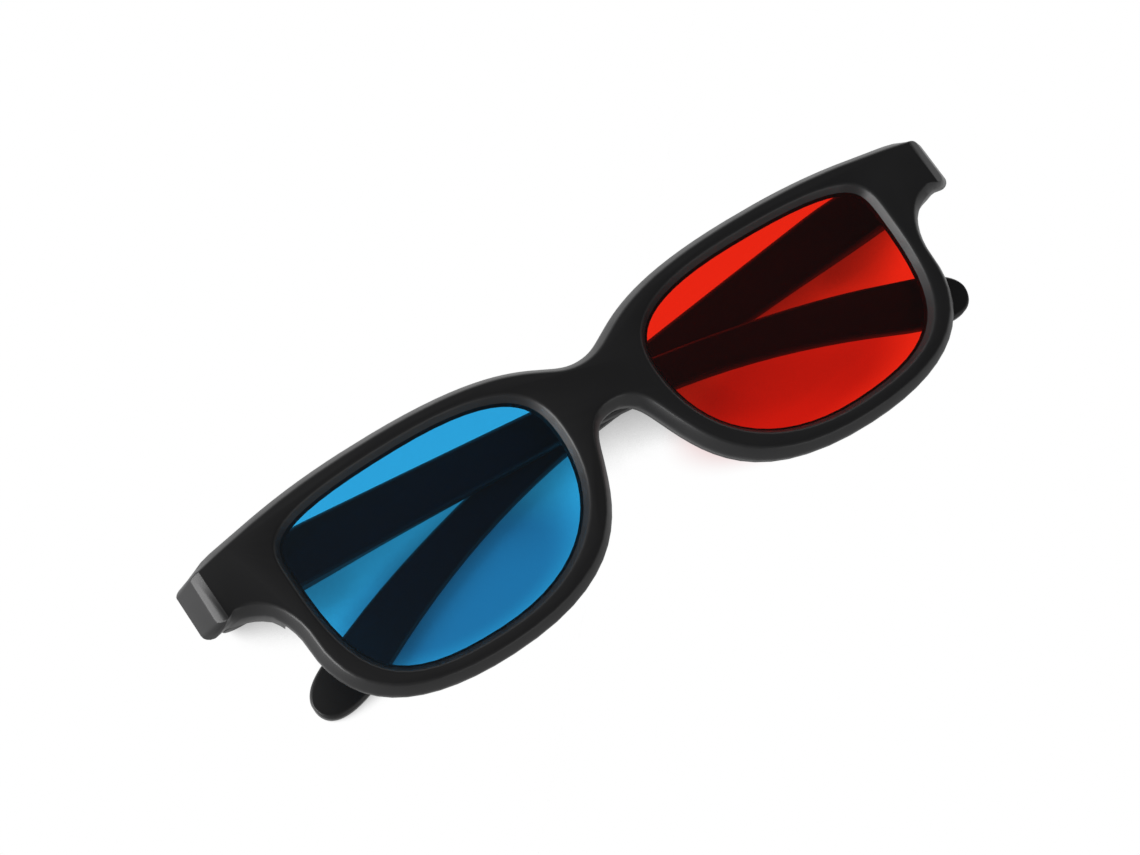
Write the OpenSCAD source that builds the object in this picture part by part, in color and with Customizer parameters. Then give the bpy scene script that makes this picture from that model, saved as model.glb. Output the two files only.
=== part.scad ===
// Folding red and blue 3D glasses, lying front up on their folded temples.
// X runs across the face, Y towards the brow and Z up, out of the front.
// Left and right are the wearer's: the left eye, with the red lens, is at +X.

/* [Front] */
// Widest size of the front, across the backs of the two end pieces
front_w = 148; // [142:0.5:160]
// Height of the front over its bevels
front_h = 41.5; // [40.5:0.5:46]
// Distance between the middles of the two lens openings
lens_pitch = 67.7; // [66:0.1:70]
// Width of a lens opening at the front face
opening_w = 49.7; // [46:0.1:51]
// Height of a lens opening at the front face
opening_h = 35.3; // [31:0.1:36]
// Width of the rim's face beside the temple
rim_side = 1.6; // [1.2:0.1:2.4]
// Width of the rim's face beside the nose
rim_nasal = 2; // [1.5:0.1:2.5]
// Drop of the bridge's top edge below the face's top
bridge_drop = 7.4; // [5.5:0.1:9.5]
// Height of the bridge itself, down to the nose notch
bridge_h = 7.4; // [6:0.1:9]
// Thickness of the front moulding at its rims
front_t = 3.6; // [3.3:0.1:4.5]

/* [Bevels] */
// Width of the outer bevel, seen from the front
outer_bevel_run = 1.25; // [0.8:0.05:1.5]
// Depth of the outer bevel
outer_bevel_depth = 2.2; // [1.5:0.1:2.6]
// Width of the bevel round a lens opening
inner_bevel_run = 1.35; // [1:0.05:1.8]
// Depth of a lens behind the front face
lens_depth = 2.3; // [1.8:0.1:2.4]

/* [End pieces] */
// Drop of an end piece's top below the face's top
end_drop = 4; // [3:0.1:4.5]
// Height of an end piece's face
end_h = 8.6; // [8:0.1:9.5]
// Depth of an end piece, front to back
end_depth = 5.7; // [5.3:0.1:7]
// How far an end piece's side slopes outwards from its front edge
end_flare = 3.4; // [2.5:0.1:4.5]

/* [Lenses and rear frame] */
// Thickness of a lens sheet
lens_t = 0.8; // [0.5:0.1:1]
// Width of the seat that a lens lies on
lens_seat = 2.2; // [1.4:0.1:2.5]
// Thickness of the rear frame's plate
rear_t = 1.4; // [1:0.1:1.6]
// How far the rear frame's edge stands in from the front's wall
rear_inset = 0.35; // [0.2:0.05:0.8]
// Depth of a nose pad behind the rear frame
pad_depth = 2.6; // [1.5:0.1:3]
// Thickness of a nose pad at its root
pad_t = 1.7; // [1.4:0.1:2]

/* [Hinges] */
// Distance of a hinge pin's axis from an end piece's front edge
pin_inset = 3; // [2.6:0.1:3.4]
// Radius of a hinge pin
pin_r = 0.8; // [0.6:0.05:1]
// Running clearance of a temple's knuckle on its pin
pin_clearance = 0.05; // [0.02:0.01:0.1]
// Distance of a hinge pin's axis from the inner wall of its end piece
pin_wall = 5.1; // [4.6:0.1:5.6]
// Drop of a hinge's middle below an end piece's top
hinge_drop = 4; // [3.7:0.1:4.3]
// Height of a temple's knuckle
knuckle_h = 3.6; // [3:0.1:4]
// Thickness of a hinge ear
ear_t = 1.9; // [1.5:0.1:2]
// Outer radius of a hinge ear and of a knuckle
ear_r = 2.3; // [2:0.1:2.4]
// Gap between an ear and the knuckle
ear_gap = 0.1; // [0.05:0.05:0.3]

/* [Temples] */
// Length of a temple from its pin to its tip
temple_reach = 132.2; // [128:0.1:140]
// Height of a temple at its hinge
temple_h = 7.4; // [7:0.1:8]
// Distance from the pin to where a temple bends down
bend_l = 60; // [50:1:70]
// Height of a temple at its bend
bend_h = 6.9; // [6:0.1:8]
// Drop of a temple's lower edge at its bend, from the hinge's middle
bend_drop = 7; // [6:0.1:8]
// Height of a temple's ear piece
tip_h = 8.2; // [7:0.1:9]
// Drop of a temple's tip, from the hinge's middle
tip_drop = 21.1; // [16:0.1:24]
// Thickness of a temple at its hinge
hinge_end_t = 4.4; // [4.2:0.1:5]
// Thickness of a temple behind its hinge end
temple_t = 2.6; // [2.2:0.1:2.7]
// Thickness of a temple at its tip
tip_t = 2.1; // [1.8:0.1:2.3]
// Chamfer along the edges of a temple's inner face
temple_chamfer = 0.5; // [0.2:0.05:0.7]
// Length of a temple's butt beyond its pin
butt = 2.6; // [2.4:0.1:2.8]
// Height of the pin's axis above a folded temple's inner face
pin_lift = 1.2; // [1:0.1:1.4]

/* [Hidden] */

moulding_black = "#232325";
temple_black = "#1d1d1f";
lens_red = "#d8200f";
lens_blue = "#1f86c8";
pin_steel = "#b9bcc0";

// Points on the curves of the outlines
steps = 16;
nose_steps = 10;
rim_steps = 14;
edge_steps = 3;
corner_steps = 4;
hump_steps = 8;
pad_steps = 9;
tip_steps = 20;
// A cut reaches this far past the face that it opens
past = 1;
// Two pieces of one moulding run into each other by this much
bite = 0.3;
// Clearance of a lens, and of the rear frame's lip, in the lens pocket
lens_clearance = 0.1;
// Width of the rear frame's lip, which holds a lens from behind and stays out of sight
rear_lip = 0.5;
// Distance of a nose pad from the rear frame's edge
pad_inset = 0.8;
// Direction in which a nose pad's thickness lies, and the share by which it tapers on each face
pad_angle = 17;
pad_taper = 0.2;
// Share of the outer bevel that fades out towards an end piece
bevel_fade = 0.85;
// Lengths over which the outer bevel fades and an end piece flares
fade_l = 4;
flare_l = 8;
// Shifts of the face's lowest and highest points outwards from the middle of an opening
low_shift = 1.6;
brow_shift = 1.2;
// Heights of the narrowest point beside the nose and of the widest point of a rim, below the middle
nose_low = 2;
side_low = 3;
// Slope of a rim beside the nose
nose_slope = 68;
// Where the hollow under an end piece ends: its distance from the front edge and its height
hollow_inset = 2.8;
hollow_rise = 0.7;
// Slope of an end piece's upper and lower edge towards its corners
end_slope = 12;
// Radii of an end piece's lower and upper corner
end_low_r = 1;
end_high_r = 0.6;
// Width of the bevel along an end piece's front edge, seen from the front, and its slope
ridge_run = 1.1;
ridge_slope = 32;
// Clearance of a temple from its hinge ears, and of its open butt from the end piece
ear_clearance = 0.4;
stop_clearance = 0.5;
// Outboard width of an ear's web, and the height where a butt is cut back below the ears
ear_web = 0.8;
butt_cut = 2.2;
// Clearance of the folded right temple from the rear frame, and of the left one's tip from the table
fold_clearance = 0.4;
tip_clearance = 0.03;
// Drop of a temple's lower edge at its hinge, from the hinge's middle
hinge_low = 3.6;
// Where a temple's top edge is highest, and how far it stands above the hinge end there
hump_l = 20;
hump_rise = 0.4;
// Length of a temple's rounded end, its slant and how far its lower edge sags
ear_l = 13;
ear_slant = 1.5;
ear_sag = 0.6;
// Slopes of a temple's upper and lower edge where its rounded end starts
ear_top_slope = 21;
ear_low_slope = 25.5;
// Length of the flat pad under a hinge end, and where the rounding of the butt starts
rest_l = 8;
rest_start = 0.6;
// Distance from the pin to where a temple has come down to its own thickness
slim_l = 34;

eye_x = lens_pitch / 2;
face_top = front_h / 2 - outer_bevel_run;
ridge_x = front_w / 2 - end_flare;
end_top = face_top - end_drop;
end_bottom = end_top - end_h;
hinge_y = end_top - hinge_drop;
bridge_top = face_top - bridge_drop;
notch_top = bridge_top - bridge_h;
side_x = eye_x + opening_w / 2 + rim_side;
nasal_x = eye_x - opening_w / 2 - rim_nasal;
pin_x = ridge_x - pin_inset;
// The front is cut back behind its rims as far as the end pieces
rims_x = pin_x - pin_wall;

// Heights above the table
pin_z = hinge_end_t + pin_lift;
end_z = pin_z + butt + stop_clearance;
face_z = end_z + end_depth;
lens_z = face_z - lens_depth;
front_back_z = face_z - front_t;
rear_back_z = front_back_z - rear_t;

// The left temple leans down until its tip meets the table, the right one up to the rear frame
left_fold = asin((hinge_end_t - tip_t - tip_clearance) / temple_reach);
right_fold = asin((rear_back_z - fold_clearance - hinge_end_t) / (pin_x + side_x));

// Ear faces along the pin, from the hinge's middle
ear_low = knuckle_h / 2 + ear_gap;
ear_high = ear_low + ear_t;

function turn(a) = [cos(a), sin(a)];
function unit(v) = v / norm(v);
function ramp(v, from, length) = min(max((v - from) / length, 0), 1);
function raise(p, z) = [p.x, p.y, z];
function at(points, z) = [for (p = points) raise(p, z)];

// A curve from a, leaving at angle da, to b, arriving at angle db. It leaves out b.
// Its handles sa and sb are shares of the straight way from a to b.
function curve(a, da, sa, b, db, sb, n = steps) =
    let (way = norm(b - a), c = a + sa * way * turn(da), d = b - sb * way * turn(db))
    [for (i = [0:n - 1]) let (t = i / n, u = 1 - t)
        u * u * u * a + 3 * u * u * t * c + 3 * u * t * t * d + t * t * t * b];

// A closed outline moved outwards by d, or by each point's own distance in a list
function outset(points, d) =
    let (n = len(points),
         out = [for (i = [0:n - 1]) let (e = unit(points[(i + 1) % n] - points[i])) [e.y, -e.x]])
    [for (i = [0:n - 1]) let (a = out[(i + n - 1) % n], b = out[i])
        points[i] + (is_list(d) ? d[i] : d) * (a + b) / (1 + a * b)];

// One lens opening at +X: four curves between its outermost points
function opening() =
    let (w = opening_w / 2, h = opening_h / 2,
         outer = [eye_x + w, 0.4 * h], top = [eye_x - 0.035 * w, h],
         inner = [eye_x - w, 0.26 * h], bottom = [eye_x + 0.046 * w, -h])
    concat(
        curve(outer, 90, 0.236, top, 180, 0.943),
        curve(top, 180, 0.781, inner, 270, 0.253),
        curve(inner, 270, 0.364, bottom, 0, 0.505),
        curve(bottom, 0, 0.561, outer, 90, 0.548)
    );

// The front face's edge at +X runs along two chains with as many points: below, from the nose
// notch to the end piece's side, and above, from the bridge's top to the same side.
function lower_chain() =
    let (notch = [0, notch_top], nose = [nasal_x, -nose_low], low = [eye_x + low_shift, -face_top],
         side = [side_x, -side_low], corner = [ridge_x, end_bottom],
         hollow = corner + [-hollow_inset, hollow_rise],
         inner = corner - [end_low_r, 0], outer = corner + [0, end_low_r])
    concat(
        curve(notch, 0, 0.506, nose, -nose_slope, 0.32, nose_steps),
        curve(nose, -nose_slope, 0.237, low, 0, 0.653, rim_steps),
        curve(low, 0, 0.573, side, 90, 0.352, rim_steps),
        curve(side, 90, 0.47, hollow, 0, 0.3, nose_steps),
        curve(hollow, 0, 0.41, inner, -end_slope, 0.31, edge_steps),
        curve(inner, 0, 0.39, outer, 90, 0.39, corner_steps),
        [outer]
    );

function upper_chain() =
    let (bridge = [0, bridge_top], brow = [eye_x + brow_shift, face_top], corner = [ridge_x, end_top],
         inner = corner - [end_high_r, 0], outer = corner - [0, end_high_r])
    concat(
        curve(bridge, 0, 0.209, brow, 0, 0.782, nose_steps + rim_steps),
        curve(brow, 0, 0.396, inner, -end_slope, 0.396, nose_steps + rim_steps + edge_steps),
        curve(inner, -end_slope, 0.35, outer, -90, 0.35, corner_steps),
        [outer]
    );

lower = lower_chain();
upper = upper_chain();
chain = len(lower) - 1;
face_edge = concat(
    lower,
    [for (i = [chain:-1:0]) upper[i]],
    [for (i = [1:chain]) [-upper[i].x, upper[i].y]],
    [for (i = [chain:-1:1]) [-lower[i].x, lower[i].y]]
);

// The front's outline at a depth behind its face: the bevel widens it, and the ends flare
function front_edge(depth) =
    let (run = outer_bevel_run * min(depth / outer_bevel_depth, 1),
         runs = [for (p = face_edge) run * (1 - bevel_fade * ramp(abs(p.x), ridge_x - fade_l, fade_l))],
         wide = outset(face_edge, runs),
         flare = end_flare * depth / end_depth - run * (1 - bevel_fade))
    [for (i = [0:len(wide) - 1]) let (x = face_edge[i].x)
        wide[i] + [sign(x) * flare * ramp(abs(x), ridge_x - flare_l, flare_l), 0]];

wall_edge = front_edge(outer_bevel_depth);
lens_window = outset(opening(), -inner_bevel_run);
lens_pocket = outset(lens_window, lens_seat);
// A lens sheet's outline, and that of the rear frame's lip behind it
lens_held = outset(lens_pocket, -lens_clearance);

// A closed skin over rings of points, which run anticlockwise seen from the last ring
module loft(rings) {
    n = len(rings[0]);
    top = (len(rings) - 1) * n;
    sides = [for (k = [0:len(rings) - 2], i = [0:n - 1])
        let (a = k * n + i, b = k * n + (i + 1) % n)
        each [[a, a + n, b], [b, a + n, b + n]]];
    polyhedron(
        points = [for (r = rings, p = r) p],
        faces = concat([[for (i = [0:n - 1]) i]], sides, [[for (i = [n - 1:-1:0]) top + i]])
    );
}

// A prism from one height to another
module slab(points, low, high) {
    translate([0, 0, low]) linear_extrude(high - low) polygon(points);
}

// Children at both sides of the face
module both_sides() {
    children();
    mirror([1, 0, 0]) children();
}

// Everything between the two end pieces, from one height to another
module between_ends(x, low, high) {
    translate([-x, -front_h, low]) cube([2 * x, 2 * front_h, high - low]);
}

// A round bar on the hinge's axis, between two distances from the hinge's middle
module along_pin(r, low, high) {
    translate([0, low, 0]) rotate([-90, 0, 0]) cylinder(r = r, h = high - low, $fn = 48);
}

// Children drawn round a hinge's middle, put at the hinge at +X
module at_hinge() {
    translate([pin_x, hinge_y, pin_z]) children();
}

// The two ears of one hinge
module hinge_ears() {
    for (y = [ear_low, -ear_high]) {
        along_pin(ear_r, y, y + ear_t);
        translate([-ear_r, y, 0]) cube([ear_r + ear_web, ear_t, end_z - pin_z + bite]);
    }
}

// The space of one lens in the front: a bevelled window with a pocket behind it
module lens_space() {
    wider = inner_bevel_run * past / lens_depth;
    loft([
        at(lens_window, lens_z - bite),
        at(lens_window, lens_z),
        at(outset(lens_window, inner_bevel_run + wider), face_z + past)
    ]);
    slab(lens_pocket, front_back_z - past, lens_z);
}

// The front without its openings, in sections from the right end piece to the left one
module front_body() {
    n = len(face_edge);
    back_edge = front_edge(end_depth);
    bevel_z = face_z - outer_bevel_depth;
    loft([for (k = [-chain:chain]) let (b = (k + n) % n, t = n / 2 - k) [
        raise(back_edge[b], end_z), raise(back_edge[t], end_z), raise(wall_edge[t], bevel_z),
        raise(face_edge[t], face_z), raise(face_edge[b], face_z), raise(wall_edge[b], bevel_z)
    ]]);
}

// The space above the bevel along the front edge of the end piece at +X
module ridge_space() {
    translate([ridge_x - ridge_run, 0, face_z]) rotate([0, ridge_slope, 0])
        translate([-past, -front_h, 0]) cube([2 * end_depth, 2 * front_h, end_depth]);
}

module front_frame() {
    color(moulding_black) difference() {
        union() {
            front_body();
            both_sides() at_hinge() hinge_ears();
        }
        between_ends(rims_x, end_z - past, front_back_z);
        both_sides() lens_space();
        both_sides() ridge_space();
        both_sides() at_hinge() along_pin(pin_r, -ear_high - past, ear_high + past);
    }
}

// One nose pad: a wing that swells out of the rear frame beside the nose and leans away from it
module nose_pad() {
    rim = outset(face_edge, outer_bevel_run - rear_inset - pad_inset);
    first = nose_steps - 1;
    root = rear_back_z + bite / 2;
    high = rear_back_z + bite;
    thick = pad_t * turn(pad_angle);
    loft([for (k = [0:pad_steps])
        let (p = rim[first + k], low = root - (pad_depth + bite / 2) * sin(180 * k / pad_steps)) [
            raise(p + pad_taper * thick, low), raise(p + (1 - pad_taper) * thick, low),
            raise(p + thick, high), raise(p, high)
        ]]);
}

module rear_frame() {
    color(moulding_black) difference() {
        union() {
            intersection() {
                slab(outset(wall_edge, -rear_inset), rear_back_z, front_back_z);
                between_ends(rims_x - rear_inset, rear_back_z - past, front_back_z + past);
            }
            both_sides() slab(lens_held, front_back_z - bite, lens_z - lens_t);
            both_sides() nose_pad();
        }
        both_sides() slab(outset(lens_held, -rear_lip), rear_back_z - pad_depth - past, lens_z);
    }
}

// The lens sheet at +X
module lens_sheet() {
    slab(lens_held, lens_z - lens_t, lens_z);
}

module red_lens() {
    color(lens_red, 0.7) lens_sheet();
}

module blue_lens() {
    color(lens_blue, 0.7) mirror([1, 0, 0]) lens_sheet();
}

// A temple's outline from the side, round its hinge's middle, runs along two chains from the tip to
// the butt, with as many points
tip = [-temple_reach, -tip_drop];

function temple_top() =
    let (ear = tip + [ear_l - ear_slant, tip_h - ear_sag], bend = [-bend_l, bend_h - bend_drop],
         last = [butt + past, temple_h - hinge_low], hump = [-hump_l, last.y + hump_rise],
         slope = atan2(hump.y - bend.y, hump.x - bend.x))
    concat(
        curve(tip, 90, 0.29, ear, ear_top_slope, 0.435, tip_steps),
        curve(ear, ear_top_slope, 0.288, bend, slope, 0.32, rim_steps),
        [bend],
        curve(hump, slope, 0.34, last, -end_slope, 0.32, hump_steps),
        [last]
    );

function temple_bottom() =
    let (ear = tip + [ear_l + ear_slant, -ear_sag], bend = [-bend_l, -bend_drop],
         last = [butt + past, -hinge_low], slope = atan2(last.y - bend.y, last.x - bend.x))
    concat(
        curve(tip, -90, 0.345, ear, ear_low_slope, 0.655, tip_steps),
        curve(ear, ear_low_slope, 0.334, bend, slope, 0.368, rim_steps),
        curve(bend, slope, 0.33, last, slope, 0.33, hump_steps + 1),
        [last]
    );

// A temple's outer face and butt from above. Its inner face is the outline's own.
function temple_plan() =
    let (end = -temple_reach - past, over = past - pin_lift,
         rest = [for (s = [rest_l, rest_start]) [-s, (s * sin(left_fold) - pin_z) / cos(left_fold)]],
         slim = [-slim_l, -pin_lift - temple_t], back = [butt, rest[1].y + butt])
    concat(
        [[end, over], [end, -pin_lift - tip_t]],
        curve(slim, 0, 0.54, rest[0], -left_fold, 0.46),
        [rest[0]],
        curve(rest[1], 0, 0.44, back, 90, 0.29),
        [back, [butt, over]]
    );

// A temple before its outer face is cut, in sections from its tip to its butt
module temple_bar() {
    top = temple_top();
    bottom = temple_bottom();
    low = -pin_z - past;
    edge = -pin_lift - temple_chamfer;
    in = [0, temple_chamfer];
    loft([for (i = [1:len(top) - 1]) let (t = top[i], b = bottom[i]) [
        raise(b, low), raise(t, low), raise(t, edge),
        raise(t - in, -pin_lift), raise(b + in, -pin_lift), raise(b, edge)
    ]]);
}

// A temple for the +X side, round its hinge's middle
module temple() {
    ear_space = ear_high + past - knuckle_h / 2;
    difference() {
        union() {
            intersection() {
                temple_bar();
                rotate([90, 0, 0]) linear_extrude(2 * front_h, center = true) polygon(temple_plan());
            }
            along_pin(ear_r, -knuckle_h / 2, knuckle_h / 2);
        }
        for (y = [knuckle_h / 2, -ear_high - past]) {
            along_pin(ear_r + ear_clearance, y, y + ear_space);
            translate([0, y, -butt_cut]) cube([butt + past, ear_space, pin_z]);
        }
        along_pin(pin_r + pin_clearance, -knuckle_h, knuckle_h);
    }
}

module left_temple() {
    color(temple_black) at_hinge() rotate([0, -left_fold, 0]) temple();
}

module right_temple() {
    color(temple_black) mirror([1, 0, 0]) at_hinge() rotate([0, right_fold, 0]) temple();
}

// The hinge pin at +X
module hinge_pin() {
    at_hinge() along_pin(pin_r, -ear_high, ear_high);
}

module left_hinge_pin() {
    color(pin_steel) hinge_pin();
}

module right_hinge_pin() {
    color(pin_steel) mirror([1, 0, 0]) hinge_pin();
}

front_frame();
rear_frame();
red_lens();
blue_lens();
left_temple();
right_temple();
left_hinge_pin();
right_hinge_pin();
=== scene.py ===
# %% [markdown]
# # Folding red and blue 3D glasses
# A black moulded front holds a red and a blue filter sheet. A thin rear frame closes the lens pockets
# from behind, and two flat temples fold on steel pins. The glasses lie front up on their folded temples.
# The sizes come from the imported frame, so the first step is to load it and to keep its box.

# %% The frame
import math

import bmesh
import bpy
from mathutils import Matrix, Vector


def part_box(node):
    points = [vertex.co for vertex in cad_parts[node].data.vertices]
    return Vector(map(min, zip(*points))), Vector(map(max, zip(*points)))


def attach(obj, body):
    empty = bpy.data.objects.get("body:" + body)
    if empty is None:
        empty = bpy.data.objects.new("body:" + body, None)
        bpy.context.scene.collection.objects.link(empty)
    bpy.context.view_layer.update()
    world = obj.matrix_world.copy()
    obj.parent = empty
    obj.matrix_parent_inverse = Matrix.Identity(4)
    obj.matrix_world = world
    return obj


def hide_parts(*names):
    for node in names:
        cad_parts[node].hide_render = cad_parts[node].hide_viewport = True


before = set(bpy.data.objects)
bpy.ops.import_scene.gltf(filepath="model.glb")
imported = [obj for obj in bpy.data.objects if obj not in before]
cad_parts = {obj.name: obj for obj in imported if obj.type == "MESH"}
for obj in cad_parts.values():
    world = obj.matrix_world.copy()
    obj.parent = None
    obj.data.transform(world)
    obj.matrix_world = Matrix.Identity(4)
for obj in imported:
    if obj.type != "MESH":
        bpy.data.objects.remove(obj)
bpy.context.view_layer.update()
MM = 0.001


def in_mm(lengths):
    """Lengths in metres as rounded millimetres, for printing."""
    return [round(length / MM, 2) for length in lengths]


# %% [markdown]
# ## The camera
# The view looks down on the front from the wearer's right, with the brow towards the upper left. A
# constraint could aim the camera at the glasses, but it would leave out the roll. So the camera first
# looks straight down with the brow up, and is then tipped about the three axes of the glasses. A long
# lens keeps both end pieces almost the same size, as in a product picture. The tips are in degrees, the
# lens and the sensor in millimetres.

# %% Camera
AIM = Vector((-7.5, 4.75, 12.1)) * MM
DISTANCE = 366.2 * MM
TIP_BACK, TIP_ASIDE, ROLL = 11.2, -16.55, -31.73
LENS, SENSOR = 72.6, 36
NEAREST = 10 * MM

camera = bpy.data.objects.new("camera", bpy.data.cameras.new("camera"))
bpy.context.scene.collection.objects.link(camera)
camera.rotation_mode = "ZYX"
camera.rotation_euler = [math.radians(a) for a in (TIP_BACK, TIP_ASIDE, ROLL)]
bpy.context.view_layer.update()
camera.location = AIM + DISTANCE * (camera.matrix_world.to_3x3() @ Vector((0, 0, 1)))
camera.data.lens = LENS
camera.data.sensor_width = SENSOR
camera.data.clip_start = NEAREST
bpy.context.scene.camera = camera
bpy.context.scene.view_settings.view_transform = "Standard"
print("camera at, mm:", in_mm(camera.location))

# %% [markdown]
# ## Colours and nodes
# Colours are written as the sRGB hex values that an eye would pick from a swatch. Shaders work in linear
# light, so one function converts them by the sRGB curve. A second one adds a node to a tree with its
# settings and links, which keeps every material below short enough to read.

# %% Helpers for materials
WHITE, BLACK = (1, 1, 1, 1), (0, 0, 0, 1)


def linear(code):
    """A hex colour as linear red, green, blue and alpha."""
    parts = [int(code[i:i + 2], 16) / 255 for i in (1, 3, 5)]
    return [c / 12.92 if c <= 0.04045 else ((c + 0.055) / 1.055) ** 2.4 for c in parts] + [1]


def add(tree, kind, settings=None, **inputs):
    """A node of that kind. Inputs are values, or sockets to link, by the socket's name or number."""
    node = tree.nodes.new(kind)
    for name, value in (settings or {}).items():
        setattr(node, name, value)
    for name, value in inputs.items():
        key = int(name[1:]) if name[1:].isdigit() else name.replace("_", " ")
        if isinstance(value, bpy.types.NodeSocket):
            tree.links.new(value, node.inputs[key])
        else:
            node.inputs[key].default_value = value
    return node


def new_material(name):
    """An empty material, its node tree and its output node."""
    material = bpy.data.materials.new(name)
    material.use_nodes = True
    material.node_tree.nodes.clear()
    output = material.node_tree.nodes.new("ShaderNodeOutputMaterial")
    return material, material.node_tree, output


print("mid grey in linear light:", [round(c, 3) for c in linear("#808080")])

# %% [markdown]
# ## The studio
# The picture is a pack shot on pure white. The satin black front faces up and stays dark because the
# ceiling is dark, while its bevels look sideways and pick up bright walls. White boards round the glasses
# would do that too, but they would stand in the way of other views. So the world does it: it fades from
# the walls at the horizon to the ceiling overhead. The wall on the brow's side is brighter than the one
# on the chin's side, and the ceiling is a little brighter over the wearer's right. Where they start and
# turn is given in parts of a unit vector that points away from the glasses.

# %% Surroundings
WALL_TOP, CEILING_START = 0.05, 0.6
CHIN_WALL, BROW_WALL, WALL_TURN = 0.45, 1.0, 0.7
CEILING_BRIGHT, CEILING_DARK, CEILING_TURN = 0.2, 0.08, 0.35

world = bpy.data.worlds.new("white_studio")
bpy.context.scene.world = world
world.use_nodes = True
sky = world.node_tree
sky.nodes.clear()
toward = add(sky, "ShaderNodeTexCoord").outputs["Generated"]
way = add(sky, "ShaderNodeSeparateXYZ", Vector=toward).outputs
walls = add(
    sky, "ShaderNodeMapRange", {"interpolation_type": "SMOOTHSTEP"}, Value=way["Y"],
    From_Min=-WALL_TURN, From_Max=WALL_TURN, To_Min=CHIN_WALL, To_Max=BROW_WALL,
)
ceiling = add(
    sky, "ShaderNodeMapRange", Value=way["X"],
    From_Min=0.0, From_Max=CEILING_TURN, To_Min=CEILING_BRIGHT, To_Max=CEILING_DARK,
)
fade = add(
    sky, "ShaderNodeMapRange", {"interpolation_type": "SMOOTHSTEP"}, Value=way["Z"],
    From_Min=WALL_TOP, From_Max=CEILING_START, To_Min=walls.outputs[0], To_Max=ceiling.outputs[0],
)
print("walls", CHIN_WALL, "to", BROW_WALL, "ceiling", CEILING_DARK, "to", CEILING_BRIGHT)

# %% [markdown]
# Where the camera sees the world itself, directly or straight through a lens, it is plain white. A ray
# that has bounced off a surface sees the walls and the ceiling, so the world counts a ray's bounces: less
# than a half means none.

# %% White behind the object
NO_BOUNCE = 0.5

ray = add(sky, "ShaderNodeLightPath").outputs
bounces = add(sky, "ShaderNodeMath", {"operation": "ADD"}, _0=ray["Diffuse Depth"], _1=ray["Glossy Depth"])
straight = add(sky, "ShaderNodeMath", {"operation": "LESS_THAN"}, _0=bounces.outputs[0], _1=NO_BOUNCE)
through = add(
    sky, "ShaderNodeMath", {"operation": "MULTIPLY"}, _0=ray["Is Transmission Ray"], _1=straight.outputs[0],
)
seen = add(
    sky, "ShaderNodeMath", {"operation": "MAXIMUM"}, _0=ray["Is Camera Ray"], _1=through.outputs[0],
)
around = add(sky, "ShaderNodeBackground", Color=WHITE, Strength=fade.outputs["Result"])
behind = add(sky, "ShaderNodeBackground", Color=WHITE, Strength=1.0)
studio = add(
    sky, "ShaderNodeMixShader", _0=seen.outputs[0], _1=around.outputs[0], _2=behind.outputs[0],
)
add(sky, "ShaderNodeOutputWorld", Surface=studio.outputs[0])
print("world nodes", len(sky.nodes))

# %% [markdown]
# Two soft boxes shape the bevels: a large one at the wearer's right and a weaker one below the chin. They
# are area lamps, wide and close, so that their reflections have soft ends. Places and sizes are in
# millimetres.

# %% Soft boxes
SOFT_BOXES = {
    "side_box": {"at": (-520, 60, 210), "size": (420, 260), "watts": 2.5},
    "chin_box": {"at": (120, -520, 190), "size": (420, 200), "watts": 0.25},
}
for name, box in SOFT_BOXES.items():
    lamp = bpy.data.lights.new(name, "AREA")
    lamp.shape = "RECTANGLE"
    lamp.size, lamp.size_y = [s * MM for s in box["size"]]
    lamp.energy = box["watts"]
    holder = bpy.data.objects.new(name, lamp)
    holder.location = Vector(box["at"]) * MM
    holder.rotation_euler = (-holder.location).to_track_quat("-Z", "Y").to_euler()
    bpy.context.scene.collection.objects.link(holder)
    print(name, box["watts"], "W")

# %% [markdown]
# The floor is a white sheet of paper, and round the glasses only their soft contact shadow shows on it. A
# traced shadow needs a lit, solid floor, which would hide the opened temples below it. So the floor is
# clear where nothing is near, and darkens where a temple or an end piece comes close. Ambient occlusion
# measures that closeness, from 0 where the paper is closed in to 1 where it is open. It looks up towards
# the brow, where most light comes from, so the shade falls on the chin's side.

# %% Shade on the floor
SHADOW_REACH = 16 * MM
SHADE_FULL, SHADE_NONE = 0.0, 0.47
LIGHT_FROM = Vector((0, 0.5, 0.87))
SHADE_SAMPLES = 32

paper, tree, output = new_material("white_paper_floor")
look = add(tree, "ShaderNodeCombineXYZ", X=LIGHT_FROM.x, Y=LIGHT_FROM.y, Z=LIGHT_FROM.z)
closeness = add(
    tree, "ShaderNodeAmbientOcclusion", {"samples": SHADE_SAMPLES},
    Distance=SHADOW_REACH, Normal=look.outputs[0],
)
shade = add(
    tree, "ShaderNodeMapRange", Value=closeness.outputs["AO"],
    From_Min=SHADE_FULL, From_Max=SHADE_NONE, To_Min=1.0, To_Max=0.0,
)
print("shade within", round(SHADOW_REACH / MM), "mm")

# %% [markdown]
# Most of the light that reaches the paper below a lens has passed through the sheet. It is weaker and
# keeps a pale tint of the sheet's colour. Tracing that light would need many more samples, so each sheet
# lays one soft patch on the paper instead. The light comes over the brow, and the patches lie towards the
# chin. A patch is an oval of the given half size, and it fades out near its edge.

# %% Filtered light on the floor
FILTERED_LIGHT = {"red_lens": "#ddb2b2", "blue_lens": "#b2b4c4"}
PATCH_DROP = 6 * MM
PATCH_HALF = Vector((25, 10.5, 1)) * MM
PATCH_FULL, PATCH_NONE = 0.6, 1.12

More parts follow.
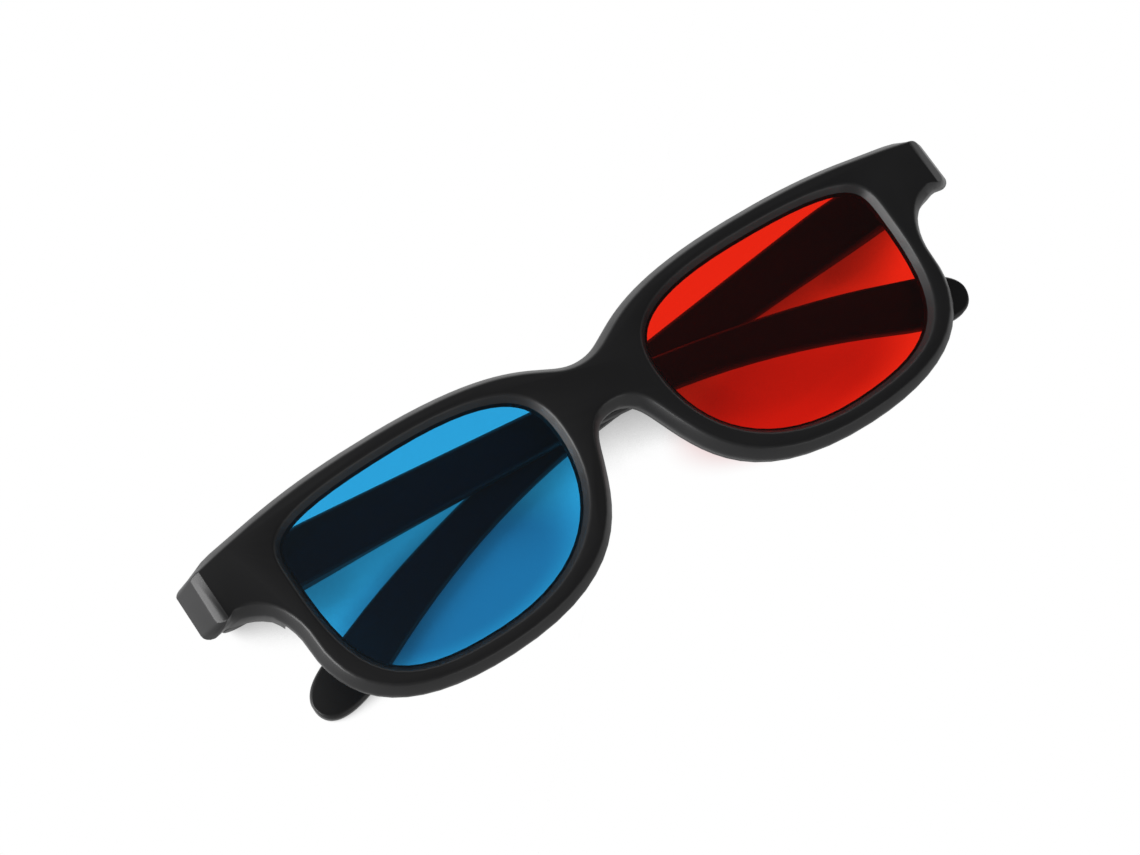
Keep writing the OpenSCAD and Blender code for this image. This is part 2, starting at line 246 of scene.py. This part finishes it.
spot = add(tree, "ShaderNodeTexCoord").outputs["Object"]
light = WHITE
for node, tint in FILTERED_LIGHT.items():
    lens_middle = sum(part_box(node), Vector()) / 2
    middle = (lens_middle.x, lens_middle.y - PATCH_DROP, 0)
    aside = add(tree, "ShaderNodeVectorMath", {"operation": "SUBTRACT"}, _0=spot, _1=middle)
    share = add(tree, "ShaderNodeVectorMath", {"operation": "DIVIDE"}, _0=aside.outputs[0], _1=PATCH_HALF)
    away = add(tree, "ShaderNodeVectorMath", {"operation": "LENGTH"}, _0=share.outputs[0])
    patch = add(
        tree, "ShaderNodeMapRange", {"interpolation_type": "SMOOTHSTEP"}, Value=away.outputs["Value"],
        From_Min=PATCH_FULL, From_Max=PATCH_NONE, To_Min=1.0, To_Max=0.0,
    )
    tinted = add(
        tree, "ShaderNodeMix", {"data_type": "RGBA"}, _0=patch.outputs["Result"], _6=light, _7=linear(tint),
    )
    light = tinted.outputs[2]
    print("patch of", node, "at, mm:", in_mm(middle))

# %% [markdown]
# The floor itself is one large square just below the lowest point of the glasses. It is part of the
# stage and not of the object.

# %% Floor
FLOOR_SIZE = 4.0
FLOOR_GAP = 0.03 * MM

clear = add(tree, "ShaderNodeBsdfTransparent", Color=light)
dark = add(tree, "ShaderNodeBsdfDiffuse", Color=BLACK)
mixed = add(
    tree, "ShaderNodeMixShader", _0=shade.outputs["Result"], _1=clear.outputs[0], _2=dark.outputs[0],
)
tree.links.new(mixed.outputs[0], output.inputs["Surface"])

floor_mesh = bpy.data.meshes.new("floor")
half = FLOOR_SIZE / 2
corners = [(x * half, y * half, -FLOOR_GAP) for x, y in ((-1, -1), (1, -1), (1, 1), (-1, 1))]
floor_mesh.from_pydata(corners, [], [(0, 1, 2, 3)])
floor_mesh.materials.append(paper)
floor = bpy.data.objects.new("floor", floor_mesh)
bpy.context.scene.collection.objects.link(floor)
print("floor", FLOOR_SIZE, "m square")

# %% [markdown]
# ## Moulded ABS
# The front, the rear frame and the temples are injection-moulded ABS, dyed black right through. The mould
# was spark eroded, which leaves a very fine grain: the surface is satin, not glossy. Roughness alone could
# give the satin, but a low bump also breaks the reflections up a little, as the grain does. The grain is
# about 0.05 mm, too fine to show, so it is drawn at 0.25 mm. Handling adds faint, wider smudges, which
# change the gloss a little.

# %% Satin black ABS
GRAIN, GRAIN_DEPTH, GRAIN_STRENGTH = 0.25 * MM, 0.02 * MM, 0.06
SMUDGE, SMUDGE_LOW, SMUDGE_HIGH = 9.0 * MM, 0.3, 0.7
ROUGHNESS_CHANGE = 0.03
ABS_IOR = 1.53


def satin_abs(name, colour, roughness):
    """Black ABS from a spark-eroded mould: fine grain, and smudges on it."""
    material, tree, output = new_material(name)
    place = add(tree, "ShaderNodeTexCoord").outputs["Object"]
    grain = add(
        tree, "ShaderNodeTexNoise", Vector=place, Scale=1 / GRAIN, Detail=2.0, Roughness=0.6,
    )
    smudge = add(
        tree, "ShaderNodeTexNoise", Vector=place, Scale=1 / SMUDGE, Detail=3.0, Roughness=0.5,
    )
    gloss = add(
        tree, "ShaderNodeMapRange", Value=smudge.outputs["Fac"], From_Min=SMUDGE_LOW, From_Max=SMUDGE_HIGH,
        To_Min=roughness - ROUGHNESS_CHANGE, To_Max=roughness + ROUGHNESS_CHANGE,
    )
    relief = add(
        tree, "ShaderNodeBump", Height=grain.outputs["Fac"], Strength=GRAIN_STRENGTH, Distance=GRAIN_DEPTH,
    )
    shader = add(
        tree, "ShaderNodeBsdfPrincipled", Base_Color=linear(colour), IOR=ABS_IOR,
        Roughness=gloss.outputs["Result"], Normal=relief.outputs["Normal"],
    )
    tree.links.new(shader.outputs["BSDF"], output.inputs["Surface"])
    return material


front_abs = satin_abs("satin_black_abs_front", colour="#202021", roughness=0.38)
temple_abs = satin_abs("satin_black_abs_temple", colour="#171718", roughness=0.42)
print("grain and smudges, mm:", in_mm([GRAIN, SMUDGE]))

# %% [markdown]
# ## The mouldings
# A mould can't have perfectly sharp edges, so every edge of the real pieces is a small round that catches
# a thin line of light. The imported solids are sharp. The pieces could be drawn again from curves, but a
# copy of a solid keeps every seat and bore in its place. So each moulding is a copy: its loose triangles
# are merged, its flat faces are joined, and its edges get a bevel. Two helpers come first. One puts a mesh
# into the scene, and one turns what a modifier makes into a plain mesh.

# %% Helpers for pieces
def link(name, mesh):
    """A new object at the origin that holds the mesh."""
    piece = bpy.data.objects.new(name, mesh)
    bpy.context.scene.collection.objects.link(piece)
    return piece


def plain(piece):
    """The piece with its evaluated mesh as its own, and with no modifier left."""
    graph = bpy.context.evaluated_depsgraph_get()
    mesh = bpy.data.meshes.new_from_object(piece.evaluated_get(graph))
    piece.modifiers.clear()
    piece.data = mesh
    return piece


print("nodes to dress:", len(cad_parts))

# %% [markdown]
# A bevel works best on large clean faces. A flat face with a hole can't be one polygon, so the copy is
# first cut through the middle of each lens, and the cuts are kept as seams.

# %% Joined copies
WELD = 0.03 * MM
FLAT, SHARP = math.radians(1), math.radians(25)
LENS_MIDDLES = [sum(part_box(node), Vector()).x / 2 for node in ("blue_lens", "red_lens")]


def joined_copy(node):
    """A copy of a node's triangles, merged and joined to faces as large as they can be."""
    shape = bmesh.new()
    shape.from_mesh(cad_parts[node].data)
    bmesh.ops.remove_doubles(shape, verts=shape.verts, dist=WELD)
    for x in LENS_MIDDLES:
        parts = shape.verts[:] + shape.edges[:] + shape.faces[:]
        cut = bmesh.ops.bisect_plane(shape, geom=parts, plane_co=(x, 0, 0), plane_no=(1, 0, 0))
        for edge in (part for part in cut["geom_cut"] if isinstance(part, bmesh.types.BMEdge)):
            edge.seam = True
    bmesh.ops.dissolve_limit(
        shape, angle_limit=FLAT, verts=shape.verts, edges=shape.edges, delimit={"SEAM"},
    )
    bmesh.ops.join_triangles(
        shape, faces=shape.faces, angle_face_threshold=SHARP, angle_shape_threshold=math.pi,
    )
    return shape


print("cuts at x, mm:", in_mm(LENS_MIDDLES))

# %% [markdown]
# Rounds that are too wide for their edges cross each other and show as dark slivers. So each edge gets a
# width of its own: narrower where the edges turn fast or where corners meet, and changing only slowly from
# one edge to the next. Turns are in radians.

# %% Widths of the rounds
ROUND_SHARE = 0.5
LEAST_TURN, CORNER_TURN = 0.01, 1


def edge_rounds(sharp, radius):
    """The width of each sharp edge's round, at most the radius."""
    lines = {}
    for edge in sharp:
        for vert in edge.verts:
            lines.setdefault(vert, []).append(edge)
    widths = dict.fromkeys(sharp, radius)
    steps = {}
    for vert, edges in lines.items():
        short = ROUND_SHARE * min(e.calc_length() for e in edges)
        ways = [e.other_vert(vert).co - vert.co for e in edges]
        turn = math.pi - ways[0].angle(ways[1]) if len(ways) == 2 else CORNER_TURN
        steps[vert] = short * max(math.sin(turn), LEAST_TURN)
        for edge in edges:
            widths[edge] = min(widths[edge], short / max(turn, LEAST_TURN))
    settled = False
    while not settled:
        settled = True
        for vert, edges in lines.items():
            most = min(widths[e] for e in edges) + steps[vert]
            for edge in (e for e in edges if widths[e] > most):
                widths[edge] = most
                settled = False
    return widths


print("a round's width times the turn is at most", ROUND_SHARE, "of the shortest edge")

# %% [markdown]
# The Bevel modifier reads each edge's width as a share of the radius, from the edge's bevel weight. The
# edges that a lens lies against stay sharp, because the sheet closes them.

# %% Rounded copies
LENS_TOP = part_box("red_lens")[1].z
ROUND_STEPS = 3


def weigh_edges(shape, radius):
    """Gives the sharp edges their bevel weights and returns how many edges get one."""
    share = shape.edges.layers.float.new("bevel_weight_edge")
    sharp = [e for e in shape.edges if e.is_manifold and e.calc_face_angle() > SHARP]
    seats = [e for e in sharp if all(abs(v.co.z - LENS_TOP) < WELD for v in e.verts)]
    for edge in seats:
        edge.smooth = False
    widths = edge_rounds([e for e in sharp if e.smooth], radius)
    for edge, width in widths.items():
        edge[share] = width / radius
    return len(widths)


def rounded_copy(node, name, radius, material):
    """A copy of a node with its sharp edges rounded."""
    shape = joined_copy(node)
    rounded = weigh_edges(shape, radius)
    mesh = bpy.data.meshes.new(name)
    shape.to_mesh(mesh)
    shape.free()
    mesh.materials.append(material)
    mesh.shade_smooth()
    piece = link(name, mesh)
    bevel = piece.modifiers.new("edge_round", "BEVEL")
    bevel.width = radius
    bevel.segments = ROUND_STEPS
    bevel.limit_method = "WEIGHT"
    bevel.use_clamp_overlap = False
    bevel.harden_normals = True
    plain(piece)
    print(name, len(piece.data.polygons), "faces,", rounded, "edges rounded")
    return piece


print("edges at z", round(LENS_TOP / MM, 2), "mm stay sharp")

# %% [markdown]
# The front has the softest edges, the temples have finer ones, and the thin rear frame the finest. The
# rounds are in millimetres.

# %% Mouldings
MOULDINGS = {
    "front_frame": ("front_moulding", 0.4, front_abs, "frame", "black_moulding"),
    "rear_frame": ("rear_moulding", 0.15, front_abs, "frame", "black_moulding"),
    "left_temple": ("left_temple_moulding", 0.25, temple_abs, "left_temple", "black_temple"),
    "right_temple": ("right_temple_moulding", 0.25, temple_abs, "right_temple", "black_temple"),
}
for node, (name, radius, material, body, slot) in MOULDINGS.items():
    moulding = rounded_copy(node, name, radius * MM, material)
    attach(moulding, body)
    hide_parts(node)

# %% [markdown]
# ## The filter sheets
# Each lens is a flat sheet of dyed acrylic, cut out with a die. It lets one colour through and is smooth
# enough to mirror the studio faintly. A transparent shader would show the colour alone, so a refracting
# one is used, which mirrors as well. It tints the light a little at each of the two faces, so the colour
# is set for the whole sheet. A faint wave, several millimetres long, bends the reflections.

# %% Dyed acrylic
WAVE, WAVE_DEPTH, WAVE_STRENGTH = 7.0 * MM, 0.05 * MM, 0.05
ACRYLIC_IOR, ACRYLIC_ROUGHNESS = 1.49, 0.03


def dyed_acrylic(name, colour):
    """A clear dyed sheet with a faint wave."""
    material, tree, output = new_material(name)
    place = add(tree, "ShaderNodeTexCoord").outputs["Object"]
    wave = add(tree, "ShaderNodeTexNoise", Vector=place, Scale=1 / WAVE, Detail=1.0)
    relief = add(
        tree, "ShaderNodeBump", Height=wave.outputs["Fac"], Strength=WAVE_STRENGTH, Distance=WAVE_DEPTH,
    )
    shader = add(
        tree, "ShaderNodeBsdfPrincipled", Base_Color=linear(colour), Roughness=ACRYLIC_ROUGHNESS,
        IOR=ACRYLIC_IOR, Transmission_Weight=1.0, Normal=relief.outputs["Normal"],
    )
    tree.links.new(shader.outputs["BSDF"], output.inputs["Surface"])
    return material


red_acrylic = dyed_acrylic("red_dyed_acrylic", "#ef230d")
blue_acrylic = dyed_acrylic("blue_dyed_acrylic", "#28a5df")
print("waves, mm:", in_mm([WAVE]))

# %% [markdown]
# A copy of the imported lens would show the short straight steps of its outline. The sheet's shape follows a
# rule, though: one smooth outline, filled and given a thickness. Geometry Nodes write that rule down once
# for both sheets. Two helpers start a rule with named inputs and work it out on a piece.

# %% Helpers for rules
def new_rule(name, inputs):
    """An empty Geometry Nodes tree with a geometry in and out and the named inputs."""
    rule = bpy.data.node_groups.new(name, "GeometryNodeTree")
    rule.interface.new_socket("Geometry", in_out="INPUT", socket_type="NodeSocketGeometry")
    for label, kind in inputs.items():
        rule.interface.new_socket(label, in_out="INPUT", socket_type=kind)
    rule.interface.new_socket("Geometry", in_out="OUTPUT", socket_type="NodeSocketGeometry")
    given = rule.nodes.new("NodeGroupInput").outputs
    return rule, given


def follow(piece, rule, **values):
    """The rule worked out on the piece with these inputs, as a plain mesh."""
    modifier = piece.modifiers.new(rule.name, "NODES")
    modifier.node_group = rule
    for socket in rule.interface.items_tree:
        if socket.in_out == "INPUT" and socket.name in values:
            modifier[socket.identifier] = values[socket.name]
    return plain(piece)


for node in ("red_lens", "blue_lens"):
    low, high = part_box(node)
    print(node, "to be cut, mm:", in_mm(high - low))

# %% [markdown]
# The outline is smoothed and filled, and pushed down by the thickness. A filled outline looks down, so what
# is pushed down from it looks outwards, and only the upper face is turned.

# %% The die-cut rule
SEAM = 0.002 * MM

die_cut, given = new_rule("die_cut_sheet", {
    "Top": "NodeSocketFloat", "Thickness": "NodeSocketFloat", "Points": "NodeSocketInt",
    "Sheet": "NodeSocketMaterial",
})
outline = add(die_cut, "GeometryNodeMeshToCurve", Mesh=given["Geometry"])
smooth = add(
    die_cut, "GeometryNodeCurveSplineType", {"spline_type": "CATMULL_ROM"}, Curve=outline.outputs[0],
)
even = add(die_cut, "GeometryNodeResampleCurve", Curve=smooth.outputs[0], Count=given["Points"])
top = add(die_cut, "GeometryNodeFillCurve", {"mode": "NGONS"}, Curve=even.outputs[0])
wall = add(
    die_cut, "GeometryNodeExtrudeMesh", Mesh=top.outputs[0], Offset=(0, 0, -1),
    Offset_Scale=given["Thickness"], Individual=False,
)
face = add(die_cut, "GeometryNodeFlipFaces", Mesh=top.outputs[0])
both = add(die_cut, "GeometryNodeJoinGeometry")
for part in (face, wall):
    die_cut.links.new(part.outputs[0], both.inputs[0])
closed = add(die_cut, "GeometryNodeMergeByDistance", Geometry=both.outputs[0], Distance=SEAM)
lift = add(die_cut, "ShaderNodeCombineXYZ", Z=given["Top"])
placed = add(die_cut, "GeometryNodeTransform", Geometry=closed.outputs[0], Translation=lift.outputs[0])
flat = add(die_cut, "GeometryNodeSetShadeSmooth", Geometry=placed.outputs[0], Shade_Smooth=False)
real = add(die_cut, "GeometryNodeRealizeInstances", Geometry=flat.outputs[0])
dressed = add(die_cut, "GeometryNodeSetMaterial", Geometry=real.outputs[0], Material=given["Sheet"])
add(die_cut, "NodeGroupOutput", Geometry=dressed.outputs[0])
print("rule", die_cut.name, "with", len(die_cut.nodes), "nodes")

# %% [markdown]
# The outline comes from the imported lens, as the edge loop of its upper face, so a sheet always fits its
# pocket.

# %% Filter sheets
OUTLINE_POINTS = 160
FLUSH = 0.01 * MM


def upper_outline(node):
    """The edge loop round a node's upper face, as a mesh of edges."""
    shape = bmesh.new()
    shape.from_mesh(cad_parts[node].data)
    bmesh.ops.remove_doubles(shape, verts=shape.verts, dist=FLUSH)
    top_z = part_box(node)[1].z
    flat = [f for f in shape.faces if all(abs(v.co.z - top_z) < FLUSH for v in f.verts)]
    rim = [e for e in shape.edges if sum(f in flat for f in e.link_faces) == 1]
    points = dict.fromkeys(v for e in rim for v in e.verts)
    number = {v: i for i, v in enumerate(points)}
    mesh = bpy.data.meshes.new(node + "_outline")
    mesh.from_pydata([v.co for v in number], [[number[v] for v in e.verts] for e in rim], [])
    shape.free()
    return mesh


SHEETS = {
    "red_lens": ("red_filter_sheet", red_acrylic, "red_filter"),
    "blue_lens": ("blue_filter_sheet", blue_acrylic, "blue_filter"),
}
for node, (name, material, slot) in SHEETS.items():
    low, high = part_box(node)
    sheet = link(name, upper_outline(node))
    thick = high.z - low.z
    follow(sheet, die_cut, Top=high.z, Thickness=thick, Points=OUTLINE_POINTS, Sheet=material)
    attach(sheet, "frame")
    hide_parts(node)
    print(name, round(thick / MM, 2), "mm thick,", len(sheet.data.polygons), "faces")

# %% [markdown]
# ## The hinge pins
# A short piece of drawn steel wire is pressed through the ears of each hinge. Drawing the wire through its
# die leaves fine lines along it. Noise that is stretched along the wire stands for them and makes the
# gloss uneven.

# %% Drawn steel wire
DRAW_LINE, ALONG_SCALE = 0.06 * MM, 0.03
LEAST_ROUGHNESS, MOST_ROUGHNESS = 0.22, 0.42


def drawn_steel(name, colour):
    """Steel wire with fine lines along its length, which lies along Y."""
    material, tree, output = new_material(name)
    place = add(tree, "ShaderNodeTexCoord").outputs["Object"]
    along = add(tree, "ShaderNodeMapping", Vector=place, Scale=(1, ALONG_SCALE, 1))
    lines = add(tree, "ShaderNodeTexNoise", Vector=along.outputs[0], Scale=1 / DRAW_LINE, Detail=2.0)
    gloss = add(
        tree, "ShaderNodeMapRange", Value=lines.outputs["Fac"],
        To_Min=LEAST_ROUGHNESS, To_Max=MOST_ROUGHNESS,
    )
    shader = add(
        tree, "ShaderNodeBsdfPrincipled", Base_Color=linear(colour), Metallic=1.0,
        Roughness=gloss.outputs["Result"],
    )
    tree.links.new(shader.outputs["BSDF"], output.inputs["Surface"])
    return material


pin_steel = drawn_steel("drawn_steel_wire", "#b9bcc0")
print("drawing lines, mm:", in_mm([DRAW_LINE]))

# %% [markdown]
# Both pins are the same, so a second rule makes one pin and puts it at both hinges. A plain cylinder would
# have sharp ends, so a circle is swept along a line instead, where each ring can have its own radius. The
# line runs along Y, is as long as the pin, and has a point for every ring.

# %% The pin's line
PIN_RINGS = 93

wire, given = new_rule("pressed_pin", {
    "Length": "NodeSocketFloat", "Radius": "NodeSocketFloat", "Round": "NodeSocketFloat",
    "Steel": "NodeSocketMaterial",
})
half_length = add(wire, "ShaderNodeMath", {"operation": "MULTIPLY"}, _0=given["Length"], _1=0.5)
start = add(wire, "ShaderNodeMath", {"operation": "MULTIPLY"}, _0=given["Length"], _1=-0.5)
first = add(wire, "ShaderNodeCombineXYZ", Y=start.outputs[0])
last = add(wire, "ShaderNodeCombineXYZ", Y=half_length.outputs[0])
line = add(wire, "GeometryNodeCurvePrimitiveLine", Start=first.outputs[0], End=last.outputs[0])
rings = add(wire, "GeometryNodeResampleCurve", Curve=line.outputs[0], Count=PIN_RINGS)
print("rule", wire.name, "with", PIN_RINGS, "rings")

# %% [markdown]
# The ends of a pin are tumbled round, so that they start easily in the bore. The round begins at a
# shoulder, and past it the radius drops with the square of the way to the end.

# %% The pin's radius
place = add(wire, "GeometryNodeInputPosition").outputs[0]
along = add(wire, "ShaderNodeSeparateXYZ", Vector=place)
far = add(wire, "ShaderNodeMath", {"operation": "ABSOLUTE"}, _0=along.outputs["Y"])
shoulder = add(
    wire, "ShaderNodeMath", {"operation": "SUBTRACT"}, _0=half_length.outputs[0], _1=given["Round"],
)
past = add(
    wire, "ShaderNodeMapRange", Value=far.outputs[0], From_Min=shoulder.outputs[0],
    From_Max=half_length.outputs[0], To_Min=0.0, To_Max=1.0,
)
square = add(wire, "ShaderNodeMath", {"operation": "POWER"}, _0=past.outputs[0], _1=2.0)
drop = add(wire, "ShaderNodeMath", {"operation": "MULTIPLY"}, _0=square.outputs[0], _1=given["Round"])
girth = add(wire, "ShaderNodeMath", {"operation": "SUBTRACT"}, _0=given["Radius"], _1=drop.outputs[0])
print("rule", wire.name, "has", len(wire.nodes), "nodes so far")

# %% [markdown]
# A circle is swept along the line with that radius. The finished pin is put on every point that the rule
# is given.

# %% The pin rule
PIN_SIDES = 40

circle = add(wire, "GeometryNodeCurvePrimitiveCircle", Resolution=PIN_SIDES, Radius=1.0)
bar = add(
    wire, "GeometryNodeCurveToMesh", Curve=rings.outputs[0], Profile_Curve=circle.outputs[0],
    Scale=girth.outputs[0], Fill_Caps=True,
)
pair = add(wire, "GeometryNodeInstanceOnPoints", Points=given["Geometry"], Instance=bar.outputs[0])
real = add(wire, "GeometryNodeRealizeInstances", Geometry=pair.outputs[0])
dressed = add(wire, "GeometryNodeSetMaterial", Geometry=real.outputs[0], Material=given["Steel"])
add(wire, "NodeGroupOutput", Geometry=dressed.outputs[0])
print("rule", wire.name, "with", len(wire.nodes), "nodes")

# %% [markdown]
# The rule works on two points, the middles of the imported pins, and takes the pins' length and thickness
# from their boxes.

# %% Pins
PIN_ROUND = 0.25 * MM

pin_nodes = ["left_hinge_pin", "right_hinge_pin"]
pin_boxes = [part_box(node) for node in pin_nodes]
middles = bpy.data.meshes.new("hinge_pins")
middles.from_pydata([(low + high) / 2 for low, high in pin_boxes], [], [])
pin_size = pin_boxes[0][1] - pin_boxes[0][0]
pins = link("hinge_pins", middles)
follow(pins, wire, Length=pin_size.y, Radius=pin_size.x / 2, Round=PIN_ROUND, Steel=pin_steel)
for face in pins.data.polygons:
    face.use_smooth = True
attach(pins, "frame")
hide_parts(*pin_nodes)
print("pins", in_mm(pin_size), "mm,", len(pins.data.polygons), "faces")
